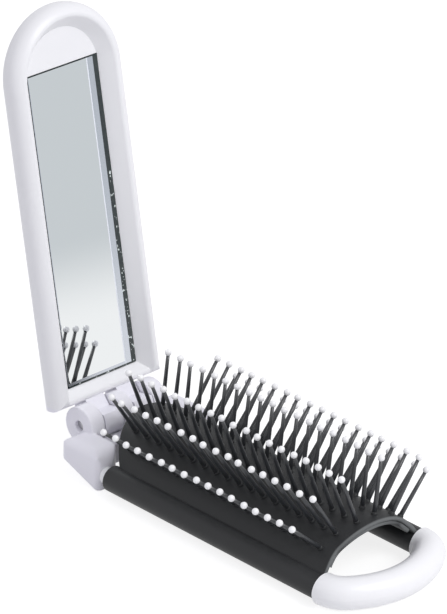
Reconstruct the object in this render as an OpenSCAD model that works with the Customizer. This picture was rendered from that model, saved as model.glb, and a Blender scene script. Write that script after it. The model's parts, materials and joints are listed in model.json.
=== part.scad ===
// Folding hairbrush with a mirror in its lid.
// Bench frame while modelling: X runs from the hinge end to the loop, with 0 at the end of the
// hinge block's prongs, Y is across, and Z is up from the surface that the brush lies on.
// Each part is then moved so that the origin is at the middle of the base.

/* [Loop frame] */
// Overall width of the loop frame
frame_w = 38.5; // [37.5:0.1:42]
// Diameter of the loop's bar, which also sets the height of the leg axes
bar_d = 7.56; // [7:0.02:8.2]
// How far the loop's outer face stands beyond the sleeves
loop_reach = 13; // [12.6:0.1:14.5]
// Radius of the loop's two corners, at the centre line of the bar
loop_corner_r = 6.2; // [5:0.1:7]
// Diameter of the legs inside the rubber sleeves
leg_d = 4.2; // [3.6:0.1:4.6]
// Diameter of the spigots on the ends of the legs
spigot_d = 3.2; // [2.4:0.1:3.4]
// Length of the spigots
spigot_l = 4; // [3:0.1:5]

/* [Bristle pad] */
// Length of the sleeves on the legs
sleeve_l = 68; // [62:0.2:80]
// Outer diameter of the sleeves
sleeve_d = 6.2; // [5.8:0.1:7]
// Bare stretch of leg between the hinge block and the sleeves
sleeve_gap = 2.4; // [0.6:0.1:2.8]
// Outer radius of the pad's arch
arch_r = 17.8; // [17.2:0.1:18.6]
// Height of the arch's crown above the table
arch_top = 14.9; // [14:0.1:16]
// Thickness of the rubber skin
skin_t = 1.1; // [0.6:0.1:1.6]
// Plan radius of the arch's edge at the hinge end
hinge_edge_r = 17.8; // [17.4:0.1:24]
// Plan radius of the arch's edge at the loop end
loop_edge_r = 52; // [30:0.5:80]
// How far the crown reaches past the prongs of the hinge block
crown_reach = 4.45; // [3:0.05:4.8]

/* [Bristles] */
// Thickness of the backing strips that carry the bristles
backing_t = 1; // [0.6:0.1:1.4]
// Distance between bristles along a row
bristle_pitch = 3.8; // [3:0.05:5]
// Least distance from the ends of a row's stretch of the pad to its first and last bristles
end_margin = 2.6; // [2.4:0.1:3]
// Shift of all the rows towards the loop
row_set = 0.4; // [0:0.1:0.6]
// Further shift of the two outer rows on the far side, about half a pitch
far_step = 1.9; // [0:0.1:1.9]
// Diameter of a bristle at its root
root_d = 1.15; // [0.8:0.05:1.4]
// Diameter of a bristle at its tip
tip_d = 0.8; // [0.5:0.01:0.86]
// Diameter of the ball on each bristle
ball_d = 1.66; // [1.4:0.02:2]
// Angle on the arch of the inner rows
inner_at = 9; // [8:0.5:12]
// Angle on the arch of the middle rows
middle_at = 26; // [24:0.5:28]
// Angle on the arch of the outer rows
outer_at = 41; // [39:0.5:43]
// Lean of the inner rows from upright
inner_lean = 14.5; // [12:0.5:16]
// How much the inner and outer rows all lean over to the near side
sway = 4; // [0:0.5:4]
// Lean of the middle rows from upright
middle_lean = 35.5; // [33:0.5:38]
// Lean of the outer rows from upright
outer_lean = 45; // [42:0.5:46]
// Height of the inner rows' balls above the skin, along the bristle
inner_l = 13.4; // [10:0.1:16]
// Height of the middle rows' balls above the skin, along the bristle
middle_l = 13.8; // [10:0.1:16]
// Height of the outer rows' balls above the skin, along the bristle
outer_l = 11.8; // [9:0.1:14]

/* [Hinge block] */
// Width of the block across both prongs
block_w = 36.4; // [35.4:0.1:38]
// Length of the block, from its outer end to the ends of the prongs
block_l = 12.6; // [11:0.1:13]
// Height of the block's shoulders
block_h = 9.6; // [8.6:0.1:9.7]
// Height of the bar between the shoulders
bridge_h = 7; // [6.4:0.1:7.6]
// Length of the bar between the shoulders
bridge_l = 7.5; // [6.6:0.1:8.5]
// Distance between the inner faces of the shoulders
shoulder_gap = 21.6; // [19:0.1:22]
// Height of the outer end's lower edge, where the chamfer under the block ends
chamfer_h = 4.6; // [3.5:0.1:4.8]
// Radius of the corners of the block, seen from above
block_corner_r = 1.6; // [1:0.1:3]
// Radius of the block's upper edges
block_edge_r = 2.4; // [1:0.1:3]
// Radius of the upper edges at the prongs' ends
prong_top_r = 3; // [1:0.1:3.4]
// Radius of the prongs' inner corners, seen from above
prong_inner_r = 3; // [2:0.1:4]

/* [Hinge] */
// Distance from the prongs' ends to the hinge axis
axis_back = 13.2; // [12.8:0.1:13.6]
// Height of the hinge axis
axis_h = 10; // [9.9:0.05:10.4]
// Radius of the ears and the knuckles
knuckle_r = 4.6; // [4:0.1:4.8]
// Width over the two outer ears
hinge_w = 24; // [22:0.1:26]
// Thickness of the outer ears
outer_ear_t = 4.1; // [3:0.1:4.6]
// Thickness of the middle ear
middle_ear_t = 3.4; // [2.6:0.1:4]
// Diameter of the hinge pin
pin_d = 2.5; // [2:0.05:3]
// How far the pin's ends lie below the faces of the outer ears
pin_inset = 1; // [0.4:0.1:1.6]

/* [Lid] */
// Angle that the lid leans back from upright
lid_lean = 11.45; // [0:0.05:30]
// Distance from the hinge axis to the lid's lower edge
lid_base = 4.3; // [4.3:0.05:5]
// Distance from the hinge axis to the top of the lid
lid_top = 98; // [94:0.1:104]
// Width of the lid
lid_w = 33.2; // [31:0.1:35]
// Thickness of the lid
lid_t = 7.2; // [7:0.1:8]
// Set-back of the lid's front face from the hinge axis
lid_set = 0.1; // [0:0.05:0.3]
// Radius of the lid's long edges, front and back, and of its lower front edge
lid_edge_r = 3.2; // [2.8:0.1:3.4]
// Radius of the lid's lower back edge
lid_back_r = 1; // [0.4:0.1:2]
// Width of the rim, from the lid's side to the floor of the recess
rim_w = 5.7; // [5:0.1:6.4]
// Width of the lower rim, from the lid's lower edge to the floor of the recess
lower_rim_w = 3.75; // [3.4:0.05:5]
// Depth of the recess in the lid's front
recess_d = 3.4; // [2.6:0.1:3.6]
// Slope of the recess's walls against its floor
wall_a = 50; // [44:1:60]
// Radius of the crest between the recess and the lid's edge
crest_r = 1; // [0.6:0.1:1.4]
// Thickness of the necks between the knuckles and the lid
neck_t = 5.1; // [3:0.1:5.6]

/* [Mirror] */
// Width of the mirror
mirror_w = 21.4; // [18:0.1:21.4]
// Height of the mirror
mirror_l = 75.1; // [60:0.1:77]
// Thickness of the mirror glass
mirror_t = 1.8; // [1:0.1:2]
// Width of the bevel round the mirror's face
bevel_w = 2; // [0.6:0.1:2.4]
// Depth of the bevel at the mirror's edge
bevel_d = 0.5; // [0.2:0.05:0.7]
// Thickness of the adhesive sheet behind the mirror
adhesive_t = 0.2; // [0.1:0.05:0.4]

/* [Clearances] */
// Radial clearance of the hinge pin
pin_fit = 0.05; // [0.02:0.01:0.1]
// Side clearance between each ear and knuckle
side_fit = 0.3; // [0.25:0.05:0.5]
// Radial clearance of the knuckles in the block's pockets
pocket_fit = 0.35; // [0.3:0.05:0.6]
// Radial clearance of the legs in the sleeves and of the spigots in the block
leg_fit = 0.05; // [0.02:0.01:0.1]
// Radial clearance of the bristles in the balls' sockets
socket_fit = 0.01; // [0.005:0.005:0.03]
// Clearance round the mirror in its seat
mirror_fit = 0.15; // [0.1:0.05:0.4]

/* [Hidden] */
$fn = 64;

// Loop frame
leg_z = bar_d / 2;                               // height of the leg axes
leg_y = (frame_w - bar_d) / 2;                   // offset of the leg axes from the middle
loop_x = sleeve_gap + sleeve_l;                  // where the loop leaves the sleeves
loop_b = loop_reach - bar_d / 2;                 // reach of the loop's centre line
corner_y = leg_y - loop_corner_r;                // centres of the loop's corners
loop_big_r = (pow(loop_b, 2) + pow(corner_y, 2) - pow(loop_corner_r, 2))
             / (2 * (loop_b - loop_corner_r));   // radius of the loop's end, tangent to both corners
big_x = loop_x + loop_b - loop_big_r;            // centre of the loop's end
big_a = atan2(corner_y, loop_x - big_x);         // half angle of the loop's end

// Pad
arch_z = arch_top - arch_r;                      // height of the arch's axis
backing_r = arch_r - skin_t;                     // outer radius of the backing
crown_loop_x = loop_x;                           // the crown ends level with the sleeves
backing_inset = 0.3;                             // how far the backing stays inside the skin's edges
backing_a = 50;                                  // half angle that the backing covers
reach = 200;                                     // longer than the object, for cuts right through

// Bristles: rows are numbered from -Y to +Y
row_at = [-outer_at, -middle_at, -inner_at, inner_at, middle_at, outer_at];
row_lean = [-outer_lean - sway, -middle_lean, -inner_lean - 2 * sway,
            inner_lean - 2 * sway, middle_lean, outer_lean - sway];
row_shift = [0, 0, 0, 0, far_step, far_step];
row_l = [outer_l, middle_l, inner_l, inner_l, middle_l, outer_l];
row_y = [for (at = row_at) arch_r * sin(at)];
row_x0 = [for (y = row_y) hinge_edge_r - crown_reach - sqrt(pow(hinge_edge_r, 2) - pow(y, 2))
                          + end_margin];         // furthest that each row may reach to the hinge
row_x1 = [for (y = row_y) crown_loop_x - loop_edge_r + sqrt(pow(loop_edge_r, 2) - pow(y, 2))
                          - end_margin];         // furthest that each row may reach to the loop
row_count = [for (i = [0:5]) floor((row_x1[i] - row_x0[i]) / bristle_pitch) + 1];
slice_a = [-backing_a, -(outer_at + middle_at) / 2, -(middle_at + inner_at) / 2, 0,
           (middle_at + inner_at) / 2, (outer_at + middle_at) / 2, backing_a];
bristle_sides = 6;
ball_depth = 0.55;                               // how deep a bristle's end sits below a ball's centre
root_depth = 0.3;                                // how deep a bristle's root is rooted in the backing

// Hinge
axis_x = -axis_back;
knuckle_w = (hinge_w - 2 * outer_ear_t - middle_ear_t - 4 * side_fit) / 2;
knuckle_y = middle_ear_t / 2 + side_fit + knuckle_w / 2;
neck_set = 0.6;                                  // set-back of the necks' front faces
pin_l = hinge_w - 2 * pin_inset;

// Lid: its own flat frame has X across, Y up the lid from the hinge axis and Z out of its front
arc_y = lid_top - lid_w / 2;                     // centre of the lid's rounded top
recess_w = lid_w - 2 * rim_w;
recess_y = lid_base + lower_rim_w;
floor_z = -lid_set - recess_d;                   // floor of the recess
mirror_y = recess_y + mirror_fit;                // lower edge of the mirror
mirror_proud = 0.1;                              // how far the glass stands above the recess's floor
seat_z = floor_z - (mirror_t + adhesive_t - mirror_proud);
edge_c = [-lid_edge_r, -lid_set - lid_edge_r];   // centre of a front edge's rounding
up_wall = [cos(wall_a), sin(wall_a)];            // direction up the recess's wall
into_wall = [sin(wall_a), -cos(wall_a)];         // direction from that wall into the lid

// The middle of the whole object, from the lid's leaning top to the loop's outer face
top_x = axis_x - (lid_set + lid_t - lid_edge_r) * cos(lid_lean)
        - (lid_top - lid_edge_r) * sin(lid_lean) - lid_edge_r;
mid_x = (top_x + loop_x + loop_reach) / 2;

// Moves a part from the bench frame to the row's origin
module placed() {
    translate([-mid_x, 0, 0]) children();
}

// A profile drawn across the brush (Y, Z), extruded along X from x0 to x1
module along_x(x0, x1) {
    translate([x0, 0, 0]) rotate([90, 0, 90]) linear_extrude(x1 - x0) children();
}

// A profile drawn from the side (X, Z), extruded across the brush from y0 to y1
module along_y(y0, y1) {
    translate([0, y1, 0]) rotate([90, 0, 0]) linear_extrude(y1 - y0) children();
}

// A round bar along X
module bar_x(x0, x1, d) {
    translate([x0, 0, 0]) rotate([0, 90, 0]) cylinder(d = d, h = x1 - x0);
}

// A round bar across the brush, on the hinge axis
module hinge_round(y0, y1, r) {
    translate([axis_x, y1, axis_h]) rotate([90, 0, 0]) cylinder(r = r, h = y1 - y0);
}

// A copy on each side of the brush
module both_sides() {
    for (side = [-1, 1]) scale([1, side, 1]) children();
}

// A rectangle with its corners rounded
module round_rect(x0, y0, x1, y1, r) {
    translate([x0 + r, y0]) square([x1 - x0 - 2 * r, y1 - y0]);
    translate([x0, y0 + r]) square([x1 - x0, y1 - y0 - 2 * r]);
    for (x = [x0 + r, x1 - r], y = [y0 + r, y1 - r]) translate([x, y]) circle(r);
}

// ---- Loop frame ----

module loop_arc(r, a0, a1) {
    rotate([0, 0, a0]) rotate_extrude(angle = a1 - a0) translate([r, 0]) circle(d = bar_d);
}

module frame_loop() {
    color("white") placed() {
        translate([0, 0, leg_z]) {
            translate([big_x, 0, 0]) loop_arc(loop_big_r, -big_a, big_a);
            translate([loop_x, corner_y, 0]) loop_arc(loop_corner_r, big_a, 90);
            translate([loop_x, -corner_y, 0]) loop_arc(loop_corner_r, -90, -big_a);
            for (side = [-1, 1]) translate([0, side * leg_y, 0]) {
                bar_x(0, loop_x, leg_d);
                bar_x(-spigot_l, 0, spigot_d);
            }
        }
    }
}

// ---- Bristle pad ----

// The arch's outline seen from above, drawn in by inset at both ends
module arch_plan(inset) {
    hinge_c = -crown_reach + hinge_edge_r;
    loop_c = crown_loop_x - loop_edge_r;
    intersection() {
        union() {
            translate([hinge_c, 0]) circle(hinge_edge_r - inset);
            translate([hinge_c, -frame_w / 2]) square([reach, frame_w]);
        }
        union() {
            translate([loop_c, 0]) circle(loop_edge_r - inset);
            translate([loop_c - reach, -frame_w / 2]) square([reach, frame_w]);
        }
    }
}

module arch_ring(r_out, r_in) {
    translate([0, arch_z]) difference() {
        circle(r_out);
        circle(r_in);
    }
}

module bristle_pad() {
    color("#2e2f33") placed() difference() {
        union() {
            for (side = [-1, 1])
                translate([0, side * leg_y, leg_z]) bar_x(sleeve_gap, loop_x, sleeve_d);
            intersection() {
                along_x(-crown_reach - 1, loop_x + 1) intersection() {
                    arch_ring(arch_r, backing_r);
                    translate([-frame_w / 2, leg_z]) square([frame_w, arch_r]);
                }
                linear_extrude(arch_top + 1) arch_plan(0);
            }
        }
        for (side = [-1, 1])
            translate([0, side * leg_y, leg_z]) bar_x(-1, loop_x + 1, leg_d + 2 * leg_fit);
    }
}

// ---- Bristles ----

// The stretch of the arch between two angles from upright
module arch_wedge(a0, a1) {
    translate([0, arch_z])
        polygon([[0, 0], 2 * arch_r * [sin(a0), cos(a0)], 2 * arch_r * [sin(a1), cos(a1)]]);
}

// Places its children at each bristle of a row, with Z along the bristle from the skin's face
module at_bristles(row) {
    at = row_at[row - 1];
    count = row_count[row - 1];
    mid = (row_x0[row - 1] + row_x1[row - 1]) / 2 + row_set + row_shift[row - 1];
    for (k = [0:count - 1])
        translate([mid + (k - (count - 1) / 2) * bristle_pitch,
                   row_y[row - 1], arch_z + arch_r * cos(at)])
            rotate([-row_lean[row - 1], 0, 0]) children();
}

// One bristle, from its root in the backing into its ball; grow widens it for the socket
module bristle(row, grow = 0) {
    root_z = -(skin_t + root_depth);
    translate([0, 0, root_z])
        cylinder(d1 = root_d + 2 * grow, d2 = tip_d + 2 * grow,
                 h = row_l[row - 1] - root_z + grow, $fn = bristle_sides);
}

module bristles_row(row) {
    color("#3a3b40") placed() {
        intersection() {
            along_x(-crown_reach, loop_x) intersection() {
                arch_ring(backing_r, backing_r - backing_t);
                arch_wedge(slice_a[row - 1], slice_a[row]);
            }
            linear_extrude(arch_top + 1) arch_plan(backing_inset);
        }
        at_bristles(row) bristle(row);
    }
}

module ball_tips_row(row) {
    color("white") placed() at_bristles(row) difference() {
        translate([0, 0, row_l[row - 1] + ball_d / 2 - ball_depth]) sphere(d = ball_d);
        bristle(row, socket_fit);
    }
}

// ---- Hinge block ----

module hinge_block() {
    color("#dcd9e6") placed() difference() {
        union() {
            block_body();
            for (side = [-1, 1])
                hinge_round(side > 0 ? hinge_w / 2 - outer_ear_t : -hinge_w / 2,
                            side > 0 ? hinge_w / 2 : outer_ear_t - hinge_w / 2, knuckle_r);
            hinge_round(-middle_ear_t / 2, middle_ear_t / 2, knuckle_r);
        }
        hinge_round(-hinge_w, hinge_w, pin_d / 2 + pin_fit);
        for (side = [-1, 1])
            hinge_round(side * knuckle_y - knuckle_w / 2 - side_fit,
                        side * knuckle_y + knuckle_w / 2 + side_fit, knuckle_r + pocket_fit);
        for (side = [-1, 1])
            translate([0, side * leg_y, leg_z]) bar_x(-spigot_l, 1, spigot_d + 2 * leg_fit);
    }
}

module block_body() {
    difference() {
        intersection() {
            along_y(-block_w / 2, block_w / 2) block_side();
            linear_extrude(block_h)
                round_rect(-block_l, -block_w / 2, 0, block_w / 2, block_corner_r);
            along_x(-block_l, 0)
                round_rect(-block_w / 2, -block_edge_r, block_w / 2, block_h, block_edge_r);
        }
        // the space between the prongs, with the prongs' inner corners rounded
        translate([-block_l + bridge_l, -shoulder_gap / 2, -1])
            cube([block_l, shoulder_gap, block_h + 2]);
        both_sides() linear_extrude(block_h + 1) prong_corner();
        // the bar between the shoulders is lower than they are
        translate([-block_l - 1, -shoulder_gap / 2, bridge_h])
            cube([block_l + 2, shoulder_gap, block_h]);
    }
}

// The block from the side, with the long chamfer under its outer end
module block_side() {
    intersection() {
        round_rect(-block_l, -block_h, block_l, block_h, block_edge_r);
        round_rect(-2 * block_l, -block_h, 0, block_h, prong_top_r);
        polygon([[-block_l, chamfer_h], [0, 0], [0, block_h], [-block_l, block_h]]);
    }
}

// What rounding takes off the inner corner of a prong's end
module prong_corner() {
    translate([0, shoulder_gap / 2]) difference() {
        translate([-prong_inner_r, -1]) square(prong_inner_r + 1);
        translate([-prong_inner_r, prong_inner_r]) circle(prong_inner_r);
        translate([-prong_inner_r, prong_inner_r]) square(prong_inner_r + 1);
    }
}

module hinge_pin() {
    color("#b9bcc2") placed() hinge_round(-pin_l / 2, pin_l / 2, pin_d / 2);
}

// ---- Lid ----

// Stands the lid's flat frame up on the hinge axis, leaning back
module lid_placed() {
    placed() translate([axis_x, 0, axis_h]) rotate([0, -lid_lean, 0]) rotate([90, 0, 90]) children();
}

// The lid's section, with all four edges rounded
module lid_section() {
    round_rect(-lid_w / 2, -lid_set - lid_t, lid_w / 2, -lid_set, lid_edge_r);
}

// The lid from the side (up the lid, out of its front): it rounds off the lower edges only
module lid_side() {
    intersection() {
        round_rect(lid_base, -2 * lid_t, 2 * lid_top, -lid_set, lid_edge_r);
        round_rect(lid_base, -lid_set - lid_t, 2 * lid_top, lid_t, lid_back_r);
    }
}

// Straight stretch of the lid, and half a turn round its top, from a section drawn across it
module along_lid() {
    translate([0, arc_y, 0]) rotate([90, 0, 0]) linear_extrude(arc_y) children();
    translate([0, arc_y, 0]) rotate_extrude(angle = 180) intersection() {
        children();
        translate([0, -lid_w / 2]) square(lid_w);
    }
}

// A profile drawn from the lid's side, extruded right across it
module across_lid() {
    translate([-lid_w, 0, 0]) rotate([90, 0, 90]) linear_extrude(2 * lid_w) children();
}

// The crest's rounding touches the recess's wall and the rounding of the lid's edge. For a wall
// whose foot is w in from the lid's edge: how far up the wall it starts, and where its centre is
function crest_v(w) = [-w, floor_z] + crest_r * into_wall - edge_c;
function crest_t(w) = sqrt(pow(crest_v(w) * up_wall, 2) - crest_v(w) * crest_v(w)
                           + pow(lid_edge_r - crest_r, 2)) - crest_v(w) * up_wall;
function crest_c(w) = [-w, floor_z] + crest_t(w) * up_wall + crest_r * into_wall;

// What the recess takes from a section whose edge is at x = 0: floor, sloping wall, rounded crest
module recess_section(w, floor_w) {
    foot = [-w, floor_z];
    out = edge_c + 2 * lid_edge_r / (lid_edge_r - crest_r) * (crest_c(w) - edge_c);
    difference() {
        polygon([[-w - floor_w, floor_z], foot, foot + crest_t(w) * up_wall, crest_c(w), out,
                 [out.x, lid_t], [-w - floor_w, lid_t]]);
        translate(crest_c(w)) circle(crest_r);
    }
}

module recess() {
    intersection() {
        along_lid() for (side = [-1, 1]) scale([side, 1])
            translate([lid_w / 2, 0]) recess_section(rim_w, recess_w / 2);
        across_lid() translate([lid_base, 0]) mirror([1, 0]) recess_section(lower_rim_w, lid_top);
    }
}

module lid_shell() {
    color("#efedf6") lid_placed() difference() {
        union() {
            intersection() {
                along_lid() lid_section();
                across_lid() lid_side();
            }
            for (side = [-1, 1]) translate([side * knuckle_y, 0, 0]) lid_knuckle();
        }
        rotate([0, 90, 0]) cylinder(d = pin_d + 2 * pin_fit, h = lid_w, center = true);
        recess();
        translate([-mirror_w / 2 - mirror_fit, mirror_y - mirror_fit, seat_z])
            cube([mirror_w + 2 * mirror_fit, mirror_l + 2 * mirror_fit, lid_t]);
        ear_pocket(0, middle_ear_t);
        for (side = [-1, 1]) ear_pocket(side * (hinge_w - outer_ear_t) / 2, outer_ear_t);
    }
}

// Room in the lid's lower edge for one of the block's ears
module ear_pocket(at, ear_t) {
    translate([at, 0, 0]) rotate([0, 90, 0])
        cylinder(r = knuckle_r + pocket_fit, h = ear_t + 2 * side_fit, center = true);
}

// A knuckle round the hinge axis, with the neck that carries the lid
module lid_knuckle() {
    rotate([0, 90, 0]) cylinder(r = knuckle_r, h = knuckle_w, center = true);
    translate([-knuckle_w / 2, 0, -neck_set - neck_t])
        cube([knuckle_w, lid_base + lid_edge_r / 2, neck_t]);
}

// ---- Mirror ----

module mirror_glass() {
    color("#c9d2d6") lid_placed() translate([0, mirror_y, seat_z + adhesive_t]) intersection() {
        translate([0, mirror_l, 0]) rotate([90, 0, 0]) linear_extrude(mirror_l)
            bevelled(-mirror_w / 2, mirror_w / 2);
        translate([-mirror_w / 2, 0, 0]) rotate([90, 0, 90]) linear_extrude(mirror_w)
            bevelled(0, mirror_l);
    }
}

// A sheet's section from a to b, with its upper corners bevelled
module bevelled(a, b) {
    polygon([[a, 0], [b, 0], [b, mirror_t - bevel_d], [b - bevel_w, mirror_t],
             [a + bevel_w, mirror_t], [a, mirror_t - bevel_d]]);
}

module mirror_adhesive() {
    color("#f4f4f0") lid_placed()
        translate([-mirror_w / 2 + bevel_w, mirror_y + bevel_w, seat_z])
            cube([mirror_w - 2 * bevel_w, mirror_l - 2 * bevel_w, adhesive_t]);
}

frame_loop();
hinge_block();
hinge_pin();
lid_shell();
mirror_glass();
mirror_adhesive();
bristle_pad();
bristles_row(1);  // bristles_row_1
bristles_row(2);  // bristles_row_2
bristles_row(3);  // bristles_row_3
bristles_row(4);  // bristles_row_4
bristles_row(5);  // bristles_row_5
bristles_row(6);  // bristles_row_6
ball_tips_row(1);  // ball_tips_row_1
ball_tips_row(2);  // ball_tips_row_2
ball_tips_row(3);  // ball_tips_row_3
ball_tips_row(4);  // ball_tips_row_4
ball_tips_row(5);  // ball_tips_row_5
ball_tips_row(6);  // ball_tips_row_6
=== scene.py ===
import bpy
import json
import math
import bmesh
from mathutils import Matrix, Vector


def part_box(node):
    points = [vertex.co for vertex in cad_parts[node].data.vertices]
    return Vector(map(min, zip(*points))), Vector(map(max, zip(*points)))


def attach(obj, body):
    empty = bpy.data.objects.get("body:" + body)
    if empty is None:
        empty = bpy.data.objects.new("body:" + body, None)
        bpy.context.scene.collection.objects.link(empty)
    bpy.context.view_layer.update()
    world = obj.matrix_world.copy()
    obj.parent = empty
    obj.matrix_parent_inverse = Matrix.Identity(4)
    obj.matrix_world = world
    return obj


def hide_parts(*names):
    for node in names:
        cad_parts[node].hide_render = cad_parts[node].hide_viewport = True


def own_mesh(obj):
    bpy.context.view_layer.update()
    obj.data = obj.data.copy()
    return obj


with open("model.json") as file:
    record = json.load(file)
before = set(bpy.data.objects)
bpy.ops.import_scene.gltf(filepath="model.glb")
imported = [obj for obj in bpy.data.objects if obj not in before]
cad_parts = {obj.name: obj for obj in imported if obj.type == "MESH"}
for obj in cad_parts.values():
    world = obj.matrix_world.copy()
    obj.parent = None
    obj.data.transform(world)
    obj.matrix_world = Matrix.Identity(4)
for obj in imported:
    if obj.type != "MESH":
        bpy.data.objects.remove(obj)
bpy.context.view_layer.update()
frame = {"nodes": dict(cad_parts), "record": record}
mm = 0.001
print("frame loaded:", len(frame["nodes"]), "nodes")

# worked out from the photograph, round the point that the fit was made for
camera = {
    "imageWidth": 447,           # pixels
    "focal": 4811.0,             # pixels
    "azimuth": 45.18,            # degrees round Z, 0 looks along +Y
    "elevation": 26.38,          # degrees above the table
    "roll": 1.51,                # degrees
    "distance": 1093.5 * mm,
    "shiftRight": 9.83 * mm,     # where the view axis passes the fitted point
    "shiftUp": -49.76 * mm,
    "loopFaceX": 46.4 * mm,      # the loop's outer face, seen from the fitted point
    "sensorWidth": 36,           # millimetres, as the lens is given
    "clipStart": 0.01,
    "clipEnd": 20,
}


def placeCamera(spec):
    a, e, roll = (math.radians(spec[k]) for k in ("azimuth", "elevation", "roll"))
    right = Vector((math.cos(a), math.sin(a), 0))
    forward = Vector((-math.sin(a) * math.cos(e), math.cos(a) * math.cos(e), -math.sin(e)))
    up = right.cross(forward)
    right, up = (math.cos(roll) * right + math.sin(roll) * up,
                 math.cos(roll) * up - math.sin(roll) * right)
    place = -spec["shiftRight"] * right - spec["shiftUp"] * up - spec["distance"] * forward
    place.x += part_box("frame_loop")[1].x - spec["loopFaceX"]
    data = bpy.data.cameras.new("photoCamera")
    data.sensor_fit = "HORIZONTAL"
    data.sensor_width = spec["sensorWidth"]
    data.lens = spec["focal"] / spec["imageWidth"] * data.sensor_width
    data.clip_start = spec["clipStart"]
    data.clip_end = spec["clipEnd"]
    obj = bpy.data.objects.new("photoCamera", data)
    bpy.context.scene.collection.objects.link(obj)
    axes = Matrix((right, up, -forward)).transposed()
    obj.matrix_world = Matrix.Translation(place) @ axes.to_4x4()
    bpy.context.scene.camera = obj


placeCamera(camera)
print("camera placed")

studio = {
    "floorSize": 6.0,
    "floorDrop": 0.02 * mm,
    "lampTarget": (0, 0, 0.04),
    "paperSeen": (0.35, 0.35, 0.35),     # how dark a shadow on the paper can look
    "paperGlow": 0.82,
    "paperBounce": (0.86, 0.86, 0.87),   # what the paper throws back at the object
    "worldStrength": 0.62,
    "worldColor": (0.93, 0.93, 1.0),
    "keyPlace": (1.35, 0.30, 1.45),
    "keySize": 1.1,
    "keyPower": 18.5,
    "fillPlace": (-0.9, -1.2, 0.9),
    "fillSize": 1.4,
    "fillPower": 0.9,
    "fillColor": (0.92, 0.92, 1.0),
    "fadeAlong": (0.77, 0.64, 0.0),      # the paper greys this way, as the mirror shows
    "fadeFrom": 0.150,
    "fadeTo": 0.330,
    "fadeColor": (0.66, 0.69, 0.71),
}


def newObject(name, mesh):
    obj = bpy.data.objects.new(name, mesh)
    bpy.context.scene.collection.objects.link(obj)
    return obj


def areaLamp(name, place, target, size, power, color=(1, 1, 1)):
    data = bpy.data.lights.new(name, "AREA")
    data.shape = "DISK"
    data.size = size
    data.energy = power
    data.color = color
    obj = bpy.data.objects.new(name, data)
    bpy.context.scene.collection.objects.link(obj)
    obj.location = place
    obj.rotation_euler = (Vector(target) - Vector(place)).to_track_quat("-Z", "Y").to_euler()


def mathNode(tree, operation, a, b):
    node = tree.nodes.new("ShaderNodeMath")
    node.operation = operation
    for socket, value in zip(node.inputs, (a, b)):
        if isinstance(value, (int, float)):
            socket.default_value = value
        else:
            tree.links.new(value, socket)
    return node.outputs[0]


def seenMask(tree):
    # 1 for what the camera sees, directly or in glossy and clear surfaces
    path = tree.nodes.new("ShaderNodeLightPath")
    first = mathNode(tree, "MAXIMUM", path.outputs["Is Camera Ray"], path.outputs["Is Glossy Ray"])
    return mathNode(tree, "MAXIMUM", first, path.outputs["Is Transmission Ray"])


def buildWorld(spec):
    world = bpy.data.worlds.new("studioWorld")
    bpy.context.scene.world = world
    world.use_nodes = True
    tree = world.node_tree
    tree.nodes.clear()
    lit = tree.nodes.new("ShaderNodeBackground")
    lit.inputs["Color"].default_value = (*spec["worldColor"], 1)
    lit.inputs["Strength"].default_value = spec["worldStrength"]
    seen = tree.nodes.new("ShaderNodeBackground")
    seen.inputs["Color"].default_value = (1, 1, 1, 1)
    seen.inputs["Strength"].default_value = 1.0
    mix = tree.nodes.new("ShaderNodeMixShader")
    out = tree.nodes.new("ShaderNodeOutputWorld")
    tree.links.new(seenMask(tree), mix.inputs["Fac"])
    tree.links.new(lit.outputs[0], mix.inputs[1])
    tree.links.new(seen.outputs[0], mix.inputs[2])
    tree.links.new(mix.outputs[0], out.inputs["Surface"])


def paperMaterial(spec):
    mat = bpy.data.materials.new("studioPaper")
    mat.use_nodes = True
    tree = mat.node_tree
    tree.nodes.clear()
    nodes, links = tree.nodes, tree.links
    bounce = nodes.new("ShaderNodeBsdfDiffuse")
    bounce.inputs["Color"].default_value = (*spec["paperBounce"], 1)
    paper = nodes.new("ShaderNodeBsdfDiffuse")
    paper.inputs["Color"].default_value = (*spec["paperSeen"], 1)
    glow = nodes.new("ShaderNodeEmission")
    glow.inputs["Strength"].default_value = spec["paperGlow"]
    lit = nodes.new("ShaderNodeAddShader")
    links.new(paper.outputs[0], lit.inputs[0])
    links.new(glow.outputs[0], lit.inputs[1])
    # in the mirror the paper fades to grey away from the object
    coord = nodes.new("ShaderNodeTexCoord")
    along = nodes.new("ShaderNodeVectorMath")
    along.operation = "DOT_PRODUCT"
    along.inputs[1].default_value = spec["fadeAlong"]
    links.new(coord.outputs["Object"], along.inputs[0])
    fade = nodes.new("ShaderNodeMapRange")
    fade.interpolation_type = "SMOOTHSTEP"
    fade.inputs["From Min"].default_value = spec["fadeFrom"]
    fade.inputs["From Max"].default_value = spec["fadeTo"]
    links.new(along.outputs["Value"], fade.inputs["Value"])
    grey = nodes.new("ShaderNodeMix")
    grey.data_type = "RGBA"
    links.new(fade.outputs["Result"], grey.inputs["Factor"])
    grey.inputs["A"].default_value = (1, 1, 1, 1)
    grey.inputs["B"].default_value = (*spec["fadeColor"], 1)
    mirrored = nodes.new("ShaderNodeEmission")
    links.new(grey.outputs["Result"], mirrored.inputs["Color"])
    path = nodes.new("ShaderNodeLightPath")
    glossy = nodes.new("ShaderNodeMixShader")
    links.new(path.outputs["Is Glossy Ray"], glossy.inputs["Fac"])
    links.new(lit.outputs[0], glossy.inputs[1])
    links.new(mirrored.outputs[0], glossy.inputs[2])
    either = nodes.new("ShaderNodeMixShader")
    links.new(seenMask(tree), either.inputs["Fac"])
    links.new(bounce.outputs[0], either.inputs[1])
    links.new(glossy.outputs[0], either.inputs[2])
    out = nodes.new("ShaderNodeOutputMaterial")
    links.new(either.outputs[0], out.inputs["Surface"])
    return mat


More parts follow.
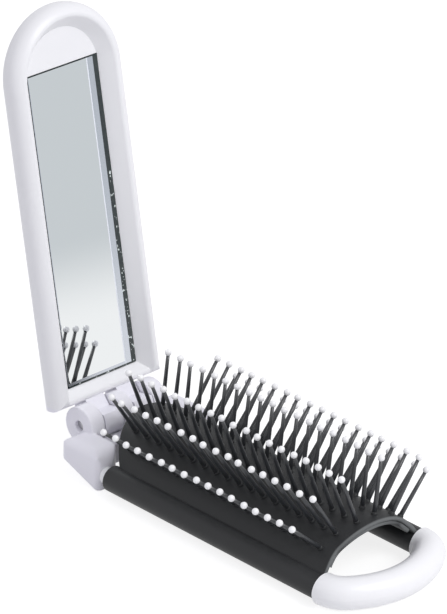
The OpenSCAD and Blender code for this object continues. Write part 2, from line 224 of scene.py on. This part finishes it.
def buildStage(spec):
    buildWorld(spec)
    half = spec["floorSize"] / 2
    mesh = bpy.data.meshes.new("studioFloor")
    mesh.from_pydata([(-half, -half, 0), (half, -half, 0), (half, half, 0), (-half, half, 0)],
                     [], [(0, 1, 2, 3)])
    mesh.materials.append(paperMaterial(spec))
    floor = newObject("studioFloor", mesh)
    floor.location.z = -spec["floorDrop"]
    target = spec["lampTarget"]
    areaLamp("keyLamp", spec["keyPlace"], target, spec["keySize"], spec["keyPower"])
    areaLamp("fillLamp", spec["fillPlace"], target, spec["fillSize"], spec["fillPower"],
             spec["fillColor"])


buildStage(studio)
bpy.context.scene.view_settings.view_transform = "Standard"
print("stage built")


grain = {
    "patchDetail": 3,
    "grainDetail": 2,
    "bumpDistance": 0.1 * mm,
}


def grainGroup(spec):
    # fine moulding texture: uneven colour, uneven gloss and a shallow bump
    group = bpy.data.node_groups.new("mouldedGrain", "ShaderNodeTree")
    face = group.interface
    for name, kind, value in (("Color", "NodeSocketColor", (0.8, 0.8, 0.8, 1)),
                              ("Shade Color", "NodeSocketColor", (0.7, 0.7, 0.7, 1)),
                              ("Shade Amount", "NodeSocketFloat", 0.3),
                              ("Roughness", "NodeSocketFloat", 0.4),
                              ("Roughness Spread", "NodeSocketFloat", 0.08),
                              ("Grain Size", "NodeSocketFloat", 1800.0),
                              ("Patch Size", "NodeSocketFloat", 70.0),
                              ("Bump", "NodeSocketFloat", 0.05)):
        socket = face.new_socket(name, in_out="INPUT", socket_type=kind)
        socket.default_value = value
    for name, kind in (("Color", "NodeSocketColor"), ("Roughness", "NodeSocketFloat"),
                       ("Normal", "NodeSocketVector")):
        face.new_socket(name, in_out="OUTPUT", socket_type=kind)
    nodes, links = group.nodes, group.links
    gin = nodes.new("NodeGroupInput")
    gout = nodes.new("NodeGroupOutput")
    coord = nodes.new("ShaderNodeTexCoord")
    patch = nodes.new("ShaderNodeTexNoise")
    patch.inputs["Detail"].default_value = spec["patchDetail"]
    links.new(coord.outputs["Object"], patch.inputs["Vector"])
    links.new(gin.outputs["Patch Size"], patch.inputs["Scale"])
    fine = nodes.new("ShaderNodeTexNoise")
    fine.inputs["Detail"].default_value = spec["grainDetail"]
    links.new(coord.outputs["Object"], fine.inputs["Vector"])
    links.new(gin.outputs["Grain Size"], fine.inputs["Scale"])
    mix = nodes.new("ShaderNodeMix")
    mix.data_type = "RGBA"
    links.new(mathNode(group, "MULTIPLY", patch.outputs["Fac"], gin.outputs["Shade Amount"]),
              mix.inputs["Factor"])
    links.new(gin.outputs["Color"], mix.inputs["A"])
    links.new(gin.outputs["Shade Color"], mix.inputs["B"])
    links.new(mix.outputs["Result"], gout.inputs["Color"])
    uneven = mathNode(group, "MULTIPLY", mathNode(group, "SUBTRACT", patch.outputs["Fac"], 0.5),
                      gin.outputs["Roughness Spread"])
    links.new(mathNode(group, "ADD", uneven, gin.outputs["Roughness"]), gout.inputs["Roughness"])
    bump = nodes.new("ShaderNodeBump")
    bump.inputs["Distance"].default_value = spec["bumpDistance"]
    links.new(gin.outputs["Bump"], bump.inputs["Strength"])
    links.new(fine.outputs["Fac"], bump.inputs["Height"])
    links.new(bump.outputs["Normal"], gout.inputs["Normal"])
    return group


mouldedGrain = grainGroup(grain)


def moulded(name, color, shadeColor, roughness, own=None, specular=0.5, metallic=0.0):
    # own holds the grain inputs that this finish sets for itself
    mat = bpy.data.materials.new(name)
    mat.use_nodes = True
    tree = mat.node_tree
    shader = tree.nodes["Principled BSDF"]
    surface = tree.nodes.new("ShaderNodeGroup")
    surface.node_tree = mouldedGrain
    surface.inputs["Color"].default_value = (*color, 1)
    surface.inputs["Shade Color"].default_value = (*shadeColor, 1)
    surface.inputs["Roughness"].default_value = roughness
    for key, value in (own or {}).items():
        surface.inputs[key].default_value = value
    for out, socket in (("Color", "Base Color"), ("Roughness", "Roughness"), ("Normal", "Normal")):
        tree.links.new(surface.outputs[out], shader.inputs[socket])
    shader.inputs["Specular IOR Level"].default_value = specular
    shader.inputs["Metallic"].default_value = metallic
    return mat


def tinted(mat, factor, tint):
    # mixes the tint into the base colour where the factor is 1
    tree = mat.node_tree
    color = tree.nodes["Principled BSDF"].inputs["Base Color"]
    mix = tree.nodes.new("ShaderNodeMix")
    mix.data_type = "RGBA"
    tree.links.new(factor, mix.inputs["Factor"])
    tree.links.new(color.links[0].from_socket, mix.inputs["A"])
    mix.inputs["B"].default_value = (*tint, 1)
    tree.links.new(mix.outputs["Result"], color)


def heightOn(mat):
    # the height in the piece's own coordinates, and the coordinates themselves
    tree = mat.node_tree
    coord = tree.nodes.new("ShaderNodeTexCoord").outputs["Object"]
    split = tree.nodes.new("ShaderNodeSeparateXYZ")
    tree.links.new(coord, split.inputs[0])
    return split.outputs["Z"], coord


def tintByAttribute(mat, attribute, tint):
    # the mesh's own attribute says where the surface takes the tint
    where = mat.node_tree.nodes.new("ShaderNodeAttribute")
    where.attribute_name = attribute
    tinted(mat, where.outputs["Fac"], tint)


def tintBelow(mat, height, blur, tint):
    # painted shade: a cooler, darker tone under this height
    under = mat.node_tree.nodes.new("ShaderNodeMapRange")
    under.interpolation_type = "SMOOTHSTEP"
    under.inputs["From Min"].default_value = height + blur
    under.inputs["From Max"].default_value = height - blur
    mat.node_tree.links.new(heightOn(mat)[0], under.inputs["Value"])
    tinted(mat, under.outputs["Result"], tint)


def chipped(mat, size, threshold, height, color):
    # small pale flecks scattered over a ground edge, up to this height
    tree = mat.node_tree
    level, coord = heightOn(mat)
    spots = tree.nodes.new("ShaderNodeTexNoise")
    spots.inputs["Scale"].default_value = 1 / size
    spots.inputs["Detail"].default_value = 1
    tree.links.new(coord, spots.inputs["Vector"])
    flecks = mathNode(tree, "MULTIPLY", mathNode(tree, "LESS_THAN", level, height),
                     mathNode(tree, "GREATER_THAN", spots.outputs["Fac"], threshold))
    tinted(mat, flecks, color)


whitePlastic = moulded("whitePlastic", (0.93, 0.93, 0.935), (0.90, 0.90, 0.92), 0.34)
lidPlastic = moulded("lidPlastic", (0.865, 0.865, 0.875), (0.83, 0.83, 0.85), 0.38)
hingePlastic = moulded("hingePlastic", (0.88, 0.87, 0.92), (0.83, 0.82, 0.88), 0.4)
pinSteel = moulded("pinSteel", (0.55, 0.55, 0.57), (0.42, 0.42, 0.45), 0.3,
                   {"Shade Amount": 0.6}, metallic=1.0)
blackRubber = moulded("blackRubber", (0.019, 0.020, 0.021), (0.029, 0.030, 0.032), 0.5,
                      {"Shade Amount": 0.8, "Bump": 0.14}, specular=0.32)
crownRubber = moulded("crownRubber", (0.013, 0.014, 0.015), (0.022, 0.023, 0.025), 0.5,
                      {"Shade Amount": 0.8, "Bump": 0.14}, specular=0.32)
# painted highlight: the loop-end cut face of the rubber is painted lighter grey
tintByAttribute(crownRubber, "cutFaceHighlight", (0.15, 0.158, 0.158))
bristlePlastic = moulded("bristlePlastic", (0.024, 0.026, 0.029), (0.052, 0.055, 0.060), 0.3,
                         {"Patch Size": 400.0, "Shade Amount": 0.9}, specular=0.7)
tipPlastic = moulded("tipPlastic", (0.97, 0.97, 0.965), (0.94, 0.94, 0.935), 0.25)
adhesiveFoam = moulded("adhesiveFoam", (0.85, 0.85, 0.8), (0.7, 0.7, 0.66), 0.8,
                       {"Bump": 0.3})
silvered = moulded("silvered", (0.85, 0.87, 0.88), (0.835, 0.86, 0.87), 0.012,
                   {"Roughness Spread": 0.004, "Bump": 0.0, "Shade Amount": 0.4}, metallic=1.0)
# painted mirror edge bands: a dim reflection, a highlight line and a dark band for the glass's
# edge
paintedDimReflection = moulded("paintedDimReflection", (0.66, 0.69, 0.75), (0.58, 0.61, 0.68), 0.22,
                    {"Roughness Spread": 0.05, "Bump": 0.0, "Shade Amount": 0.5}, metallic=1.0)
paintedHighlightLine = moulded("paintedHighlightLine", (0.84, 0.87, 0.92), (0.76, 0.80, 0.88), 0.3)
paintedGlassEdge = moulded("paintedGlassEdge", (0.004, 0.012, 0.018), (0.10, 0.115, 0.10), 0.2,
                    {"Patch Size": 900.0, "Shade Amount": 0.5})
# painted shade: the lid's knuckles and lower part by the hinge take a darker lavender tone
tintBelow(lidPlastic, height=14.4 * mm, blur=0.5 * mm, tint=(0.85, 0.84, 0.90))    # its knuckles
chipped(paintedGlassEdge, size=0.7 * mm, threshold=0.66, height=64 * mm, color=(0.62, 0.68, 0.66))
print("materials made")

rowNumbers = range(1, 7)             # the bristle rows, from the near side

finishes = {
    "frame_loop": whitePlastic,
    "hinge_block": hingePlastic,
    "hinge_pin": pinSteel,
    "lid_shell": lidPlastic,
    "mirror_adhesive": adhesiveFoam,
    "mirror_glass": silvered,
    "bristle_pad": blackRubber,
}
for row in rowNumbers:
    finishes[f"bristles_row_{row}"] = bristlePlastic
    finishes[f"ball_tips_row_{row}"] = tipPlastic


def dress(node, material):
    mesh = frame["nodes"][node].data
    mesh.materials.clear()
    mesh.materials.append(material)
    for face in mesh.polygons:
        face.material_index = 0


for nodeName, material in finishes.items():
    dress(nodeName, material)
print("materials placed on", len(finishes), "nodes")

pad = {
    "archRadius": 17.8 * mm,
    "archTop": 14.9 * mm,
    "skin": 1.1 * mm,
    "backing": 1.0 * mm,
    "backingInset": 0.3 * mm,
    "backingHalfAngle": 50,          # degrees from upright
    "hingeEdgeRadius": 17.8 * mm,    # the crown's two curved ends, seen from above
    "loopEdgeRadius": 52.0 * mm,
    "footHeight": 3.9 * mm,          # where the crown ends, inside the sleeves
    "footFlare": 2.5 * mm,           # the loop-end edge runs out to the sleeves' ends
    "flareStart": 10.0 * mm,
    "skinEdge": 0.42 * mm,           # rounding of the rubber's edges
    "backingEdge": 0.3 * mm,
    "cutDepth": 0.8,                 # how far the cut face's painted highlight reaches, in edge roundings
    "sleeveRadius": 3.1 * mm,
    "sleeveBore": 2.15 * mm,
    "sleeveEdge": 0.3 * mm,
    "legHeight": 3.78 * mm,
    "sleeveStart": 6.35 * mm,        # from the crown's tip to the sleeves
    "turns": 72,                     # steps round a sleeve
    "archSteps": 96,
    "edgeSteps": 5,
}


def finishOnBrush(obj, material):
    obj.data.materials.append(material)
    for face in obj.data.polygons:
        face.use_smooth = True
    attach(obj, "brush")
    return obj


def roundedProfile(x0, x1, r0, r1, edge, steps):
    # a rectangle with rounded corners, anticlockwise, as (along, out) points
    points = []
    corners = ((x1 - edge, r1 - edge, 0), (x0 + edge, r1 - edge, 90),
               (x0 + edge, r0 + edge, 180), (x1 - edge, r0 + edge, 270))
    for cx, cr, start in corners:
        for k in range(steps + 1):
            a = math.radians(start + 90 * k / steps)
            points.append((cx + edge * math.cos(a), cr + edge * math.sin(a)))
    return points


def meshFromRings(name, rings, closed):
    # joins point rings one after the other; an open strip gets both ends filled
    mesh = bpy.data.meshes.new(name)
    n = len(rings[0])
    points = [p for ring in rings for p in ring]
    faces = []
    last = len(rings) if closed else len(rings) - 1
    for i in range(last):
        j = (i + 1) % len(rings)
        for k in range(n):
            m = (k + 1) % n
            faces.append((i * n + k, i * n + m, j * n + m, j * n + k))
    if not closed:
        faces.append(tuple(range(n)))
        faces.append(tuple((len(rings) - 1) * n + k for k in reversed(range(n))))
    mesh.from_pydata(points, [], faces)
    shape = bmesh.new()
    shape.from_mesh(mesh)
    bmesh.ops.recalc_face_normals(shape, faces=shape.faces)
    shape.to_mesh(mesh)
    shape.free()
    return mesh


padLow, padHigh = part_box("bristle_pad")
archZ = pad["archTop"] - pad["archRadius"]


def crownEnds(y, spec):
    # where the crown starts and ends along the brush, at this distance from its middle
    hinge, loop = spec["hingeEdgeRadius"], spec["loopEdgeRadius"]
    share = max(0.0, (abs(y) - spec["flareStart"]) / (spec["archRadius"] - spec["flareStart"]))
    flare = spec["footFlare"] * share * share * (3 - 2 * share)     # eased at both ends
    return (padLow.x + hinge - math.sqrt(hinge ** 2 - y ** 2),
            padHigh.x - loop + math.sqrt(loop ** 2 - y ** 2) + flare)


def archStrip(name, spec, outer, thick, inset, halfAngle, edge):
    rings = []
    for k in range(spec["archSteps"] + 1):
        a = halfAngle * (2 * k / spec["archSteps"] - 1)
        x0, x1 = crownEnds(spec["archRadius"] * math.sin(a), spec)
        profile = roundedProfile(x0 + inset, x1 - inset, outer - thick, outer, edge,
                                 spec["edgeSteps"])
        rings.append([(x, r * math.sin(a), archZ + r * math.cos(a)) for x, r in profile])
    mesh = meshFromRings(name, rings, closed=False)
    cut = mesh.attributes.new("cutFaceHighlight", "FLOAT", "POINT")
    for i, point in enumerate(mesh.vertices):
        near = crownEnds(point.co.y, spec)[1] - point.co.x - inset     # the loop end only
        cut.data[i].value = max(0.0, 1.0 - max(0.0, near) / (spec["cutDepth"] * edge))
    return newObject(name, mesh)


def sleeve(name, spec, side):
    y = side * (padHigh.y - spec["sleeveRadius"])
    profile = roundedProfile(padLow.x + spec["sleeveStart"], padHigh.x, spec["sleeveBore"],
                             spec["sleeveRadius"], spec["sleeveEdge"], spec["edgeSteps"])
    rings = []
    for k in range(spec["turns"]):
        a = 2 * math.pi * k / spec["turns"]
        rings.append([(x, y + r * math.cos(a), spec["legHeight"] + r * math.sin(a))
                      for x, r in profile])
    return newObject(name, meshFromRings(name, rings, closed=True))


def pressFlat(obj):
    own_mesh(obj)


footAngle = math.acos((pad["footHeight"] - archZ) / (pad["archRadius"] - pad["skin"] / 2))
crown = archStrip("padCrown", pad, pad["archRadius"], pad["skin"], 0.0, footAngle,
                  pad["skinEdge"])
finishOnBrush(crown, crownRubber)
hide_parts("bristle_pad")
pressFlat(crown)
backing = archStrip("bristleBacking", pad, pad["archRadius"] - pad["skin"], pad["backing"],
                    pad["backingInset"], math.radians(pad["backingHalfAngle"]),
                    pad["backingEdge"])
finishOnBrush(backing, crownRubber)
pressFlat(backing)
for side, name in ((-1, "nearSleeve"), (1, "farSleeve")):
    tube = sleeve(name, pad, side)
    finishOnBrush(tube, blackRubber)
    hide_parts("bristle_pad")
print("pad made: crown, backing and two sleeves")

bristle = {
    "rowAngles": (-41, -26, -9, 9, 26, 41),   # degrees round the arch, from the near side
    "pitch": 3.8 * mm,
    "rootRadius": 0.575 * mm,
    "tipRadius": 0.41 * mm,
    "rootDepth": 1.3 * mm,
    "ballRadius": 0.83 * mm,
    "ballSeat": 0.28 * mm,           # how far the pin's end stops short of the ball's centre
    "bossRadius": 0.82 * mm,
    "bossTopRadius": 0.64 * mm,
    "bossHeight": 0.6 * mm,
    "bossDepth": 0.3 * mm,           # how far a boss reaches into the skin
    "pinSides": 10,
    "pinSegments": 3,
    "ballSegments": 12,
    "ballRings": 7,
    "unevenness": 0.016,             # radians that a bristle may lean off its row
    "seed": 7,
}


def bristleTree(part, spec):
    # one row of pins, balls or root bosses, each standing on its root and leaning alike
    tree = bpy.data.node_groups.new(part + "Row", "GeometryNodeTree")
    face = tree.interface
    kinds = (("Geometry", "NodeSocketGeometry"), ("Count", "NodeSocketInt"),
             ("Pitch", "NodeSocketFloat"), ("First Root", "NodeSocketVector"),
             ("Lean", "NodeSocketVector"), ("Start", "NodeSocketFloat"),
             ("Length", "NodeSocketFloat"), ("Low Radius", "NodeSocketFloat"),
             ("High Radius", "NodeSocketFloat"), ("Unevenness", "NodeSocketFloat"),
             ("Seed", "NodeSocketInt"), ("Material", "NodeSocketMaterial"))
    for name, kind in kinds:
        face.new_socket(name, in_out="INPUT", socket_type=kind)
    face.new_socket("Geometry", in_out="OUTPUT", socket_type="NodeSocketGeometry")
    nodes, links = tree.nodes, tree.links
    gin = nodes.new("NodeGroupInput")
    gout = nodes.new("NodeGroupOutput")

    step = nodes.new("ShaderNodeCombineXYZ")
    links.new(gin.outputs["Pitch"], step.inputs["X"])
    line = nodes.new("GeometryNodeMeshLine")
    line.mode = "OFFSET"
    links.new(gin.outputs["Count"], line.inputs["Count"])
    links.new(gin.outputs["First Root"], line.inputs["Start Location"])
    links.new(step.outputs[0], line.inputs["Offset"])

    lift = nodes.new("ShaderNodeCombineXYZ")
    links.new(gin.outputs["Start"], lift.inputs["Z"])
    move = nodes.new("GeometryNodeTransform")
    links.new(lift.outputs[0], move.inputs["Translation"])
    if part == "ball":
        form = nodes.new("GeometryNodeMeshUVSphere")
        form.inputs["Segments"].default_value = spec["ballSegments"]
        form.inputs["Rings"].default_value = spec["ballRings"]
        links.new(gin.outputs["High Radius"], form.inputs["Radius"])
    else:
        form = nodes.new("GeometryNodeMeshCone")
        form.inputs["Vertices"].default_value = spec["pinSides"]
        form.inputs["Side Segments"].default_value = spec["pinSegments"]
        links.new(gin.outputs["High Radius"], form.inputs["Radius Top"])
        links.new(gin.outputs["Low Radius"], form.inputs["Radius Bottom"])
        links.new(gin.outputs["Length"], form.inputs["Depth"])
    links.new(form.outputs["Mesh"], move.inputs["Geometry"])

    lean = nodes.new("FunctionNodeAlignRotationToVector")
    lean.axis = "Z"
    links.new(gin.outputs["Lean"], lean.inputs["Vector"])
    least = mathNode(tree, "MULTIPLY", gin.outputs["Unevenness"], -1.0)
    chance = nodes.new("FunctionNodeRandomValue")
    chance.data_type = "FLOAT_VECTOR"
    links.new(least, chance.inputs["Min"])
    links.new(gin.outputs["Unevenness"], chance.inputs["Max"])
    links.new(gin.outputs["Seed"], chance.inputs["Seed"])
    turn = nodes.new("FunctionNodeEulerToRotation")
    links.new(chance.outputs["Value"], turn.inputs[0])
    both = nodes.new("FunctionNodeRotateRotation")
    both.rotation_space = "LOCAL"
    links.new(lean.outputs["Rotation"], both.inputs["Rotation"])
    links.new(turn.outputs[0], both.inputs["Rotate By"])

    place = nodes.new("GeometryNodeInstanceOnPoints")
    links.new(line.outputs["Mesh"], place.inputs["Points"])
    links.new(move.outputs["Geometry"], place.inputs["Instance"])
    links.new(both.outputs["Rotation"], place.inputs["Rotation"])
    real = nodes.new("GeometryNodeRealizeInstances")
    links.new(place.outputs["Instances"], real.inputs["Geometry"])
    paint = nodes.new("GeometryNodeSetMaterial")
    links.new(real.outputs["Geometry"], paint.inputs["Geometry"])
    links.new(gin.outputs["Material"], paint.inputs["Material"])
    links.new(paint.outputs["Geometry"], gout.inputs["Geometry"])
    return tree


def evaluated(tree, values):
    # runs a tree on an empty mesh and gives back the plain mesh
    holder = newObject("rowHolder", bpy.data.meshes.new("rowHolder"))
    modifier = holder.modifiers.new("row", "NODES")
    modifier.node_group = tree
    sockets = {item.name: item.identifier for item in tree.interface.items_tree
               if item.item_type == "SOCKET" and item.in_out == "INPUT"}
    for key, value in values.items():
        modifier[sockets[key]] = value
    holder.update_tag()
    graph = bpy.context.evaluated_depsgraph_get()
    mesh = bpy.data.meshes.new_from_object(holder.evaluated_get(graph))
    holder.modifiers.clear()
    bpy.data.objects.remove(holder)
    return mesh


def rowPlaces(spec):
    # for each row: the first bristle's root, its direction and length, and how many there are
    places = []
    for row, degrees in enumerate(spec["rowAngles"], 1):
        low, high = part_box(f"ball_tips_row_{row}")
        a = math.radians(degrees)
        firstX, lastX = low.x + spec["ballRadius"], high.x - spec["ballRadius"]
        ball = Vector((firstX, (low.y + high.y) / 2, (low.z + high.z) / 2))
        root = Vector((firstX, pad["archRadius"] * math.sin(a),
                       archZ + pad["archRadius"] * math.cos(a)))
        count = round((lastX - firstX) / spec["pitch"]) + 1
        places.append((root, ball - root, count))
    return places


def bristleParts(spec):
    meshes = {"pin": [], "ball": [], "boss": []}
    trees = {part: bristleTree(part, spec) for part in meshes}
    for row, (root, reach, count) in enumerate(rowPlaces(spec)):
        common = {"Count": count, "Pitch": spec["pitch"], "First Root": root, "Lean": reach,
                  "Unevenness": spec["unevenness"], "Seed": spec["seed"] + row}
        own = {
            "pin": {"Start": -spec["rootDepth"], "Low Radius": spec["rootRadius"],
                    "Length": reach.length + spec["rootDepth"] - spec["ballSeat"],
                    "High Radius": spec["tipRadius"], "Material": bristlePlastic},
            "ball": {"Start": reach.length, "High Radius": spec["ballRadius"],
                     "Material": tipPlastic},
            "boss": {"Start": -spec["bossDepth"],
                     "Length": spec["bossHeight"] + spec["bossDepth"],
                     "Low Radius": spec["bossRadius"], "High Radius": spec["bossTopRadius"],
                     "Material": blackRubber},
        }
        for part, values in own.items():
            meshes[part].append(evaluated(trees[part], {**common, **values}))
    return meshes


def joined(name, meshes, material):
    shape = bmesh.new()
    for mesh in meshes:
        shape.from_mesh(mesh)
    whole = bpy.data.meshes.new(name)
    shape.to_mesh(whole)
    shape.free()
    whole.materials.append(material)
    for face in whole.polygons:
        face.use_smooth = True
    return newObject(name, whole)


rowMeshes = bristleParts(bristle)
replaced = {"pin": "bristles_row_", "ball": "ball_tips_row_"}
for part, name, material, slotName in (("pin", "bristlePins", bristlePlastic, "bristle_plastic"),
                                       ("ball", "ballTips", tipPlastic, "tip_plastic"),
                                       ("boss", "rootBosses", blackRubber, "black_rubber")):
    piece = joined(name, rowMeshes[part], material)
    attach(piece, "brush")
    if part in replaced:
        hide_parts(*[replaced[part] + str(row) for row in rowNumbers])
    pressFlat(piece)
    print(name, "made:", len(piece.data.polygons), "faces")

block = {
    "mergeDistance": 0.001 * mm,
    "voxel": 0.22 * mm,
    "smoothing": 6,                  # passes that round the moulded edges
    "smoothFactor": 0.5,
}


def softenedBlock(name, spec):
    # the moulded block with its edges worn round, from a copy of its solid
    mesh = frame["nodes"]["hinge_block"].data.copy()
    shape = bmesh.new()
    shape.from_mesh(mesh)
    bmesh.ops.remove_doubles(shape, verts=shape.verts, dist=spec["mergeDistance"])
    shape.to_mesh(mesh)
    shape.free()
    mesh.materials.clear()
    obj = newObject(name, mesh)
    remesh = obj.modifiers.new("remesh", "REMESH")
    remesh.mode = "VOXEL"
    remesh.voxel_size = spec["voxel"]
    smooth = obj.modifiers.new("smooth", "SMOOTH")
    smooth.iterations = spec["smoothing"]
    smooth.factor = spec["smoothFactor"]
    graph = bpy.context.evaluated_depsgraph_get()
    obj.data = bpy.data.meshes.new_from_object(obj.evaluated_get(graph))
    obj.modifiers.clear()
    return obj


wornBlock = softenedBlock("softBlock", block)
finishOnBrush(wornBlock, hingePlastic)
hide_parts("hinge_block")
print("hinge block made:", len(wornBlock.data.polygons), "faces")

mirror = {
    "edgeLine": 0.2 * mm,            # painted dark line at the near side and the top
    "sideEdge": 1.4 * mm,            # far side, painted bands: a dark band where the thick glass shows its own edge, the edge's dim reflection, painted and a painted highlight line
    "sideDimReflection": 1.7 * mm,             # the edge's dim reflection
    "sideHighlight": 0.3 * mm,          # and a bright line
    "footEdge": 0.4 * mm,            # the same painted bands at the foot
    "footDimReflection": 0.7 * mm,
}


def mirrorPlate(name, spec):
    # a flat plate in the space of the glass, its face divided into painted bands where the edge
    # shows through
    front = -Vector(frame["record"]["mounts"][0]["axis"]).normalized()
    across = Vector((0, 1, 0))
    up = front.cross(across)
    spans = []
    for axis in (across, up, front):
        reach = [v.co.dot(axis) for v in frame["nodes"]["mirror_glass"].data.vertices]
        spans.append((min(reach), max(reach)))
    (y0, y1), (u0, u1), (n0, n1) = spans
    ys = [y0, y0 + spec["edgeLine"]]
    for width in (spec["sideEdge"] + spec["sideDimReflection"] + spec["sideHighlight"],
                  spec["sideEdge"] + spec["sideDimReflection"], spec["sideEdge"], 0):
        ys.append(y1 - width)
    us = [u0, u0 + spec["footEdge"], u0 + spec["footEdge"] + spec["footDimReflection"],
          u1 - spec["edgeLine"], u1]
    # painted bands on the face: plain mirror, dim reflection, highlight line and dark edge
    face, dimReflection, highlightLine, edge = range(4)
    columns = [dimReflection, face, highlightLine, dimReflection, edge]
    lines = [edge, dimReflection, face, edge]

    def place(y, u, n):
        return y * across + u * up + n * front

    points = [place(y, u, n1) for u in us for y in ys]
    faces, marks = [], []
    for i in range(len(us) - 1):
        for j in range(len(ys) - 1):
            k = i * len(ys) + j
            faces.append((k, k + 1, k + 1 + len(ys), k + len(ys)))
            both = (columns[j], lines[i])     # where two bands cross, the edge wins
            marks.append(edge if edge in both else max(both))
    # the rim of the face, in order, is repeated at the back
    wide, high = len(ys), len(us)
    rim = ([k for k in range(wide)] + [(i + 1) * wide - 1 for i in range(1, high)]
           + [(high - 1) * wide + j for j in reversed(range(wide - 1))]
           + [i * wide for i in reversed(range(1, high - 1))])
    start = len(points)
    points += [points[k] - (n1 - n0) * front for k in rim]
    for i in range(len(rim)):
        j = (i + 1) % len(rim)
        faces.append((rim[j], rim[i], start + i, start + j))
        marks.append(edge)
    faces.append(tuple(start + i for i in reversed(range(len(rim)))))
    marks.append(dimReflection)
    mesh = bpy.data.meshes.new(name)
    mesh.from_pydata(points, [], faces)
    for material in (silvered, paintedDimReflection, paintedHighlightLine, paintedGlassEdge):
        mesh.materials.append(material)
    for polygon, mark in zip(mesh.polygons, marks):
        polygon.material_index = mark
    shape = bmesh.new()
    shape.from_mesh(mesh)
    bmesh.ops.recalc_face_normals(shape, faces=shape.faces)
    shape.to_mesh(mesh)
    shape.free()
    return newObject(name, mesh)


plate = mirrorPlate("mirrorPlate", mirror)
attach(plate, "lid")
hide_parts("mirror_glass")
print("mirror made")
